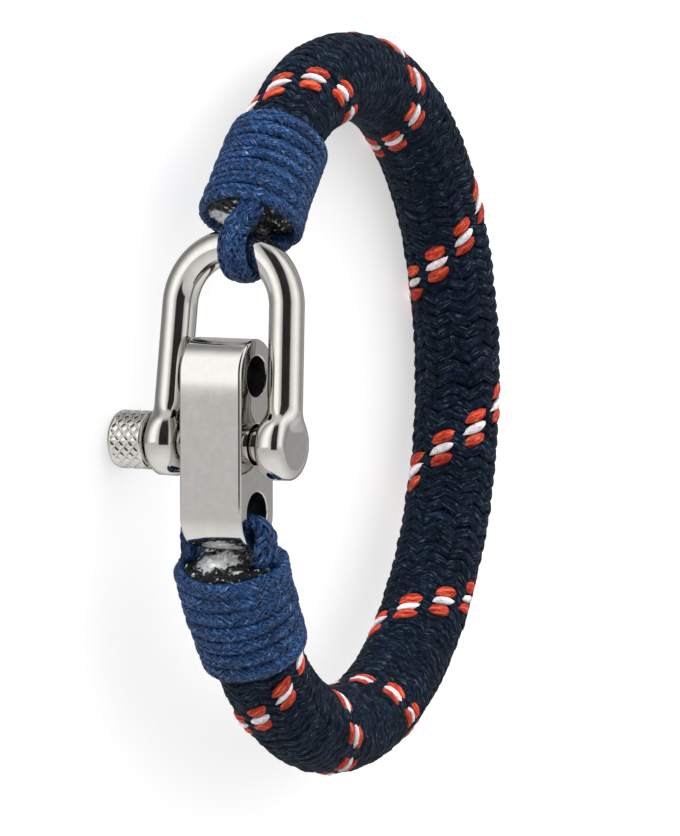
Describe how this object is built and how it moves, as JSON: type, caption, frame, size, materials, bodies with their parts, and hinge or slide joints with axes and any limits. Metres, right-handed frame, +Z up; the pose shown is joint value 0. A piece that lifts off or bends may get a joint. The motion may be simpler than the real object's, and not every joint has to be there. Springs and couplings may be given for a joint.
{
  "type": "rope bracelet",
  "caption": "Bracelet of braided navy rope with whipped ends, closed by a steel bow shackle and an adjuster bar with a screw pin.",
  "frame": {"origin": "middle of the bounding box, on the surface that the bracelet lies on", "axes": "+X along the loop's longest way towards the bar's free end, -Y out at the clasp, +Z up"},
  "size_m": [0.085, 0.0661, 0.0231],
  "materials": {
    "rope": "glossy braided polyester, navy with red and white flecks",
    "whipping_cord": "waxed braided cord, blue",
    "loop_cord": "waxed flat braided cord, blue",
    "sealed_fibre": "melted and glued rope end, glossy",
    "steel": "polished stainless steel"
  },
  "bodies": {
    "loop": {"rope": "rope", "whipping_top": "whipping_cord", "whipping_bottom": "whipping_cord", "sealed_end_top": "sealed_fibre", "sealed_end_bottom": "sealed_fibre", "loop_top": "loop_cord", "loop_bottom": "loop_cord", "shackle": "steel", "adjuster_bar": "steel"},
    "screw_pin": {"screw_pin": "steel"}
  },
  "joints": [
    {"name": "pin_turn", "type": "hinge", "parent": "loop", "child": "screw_pin", "pos_m": [0.00399, -0.02809, 0.01394], "axis": [-0.0845, 0.1316, 0.9877], "continuous": true}
  ]
}
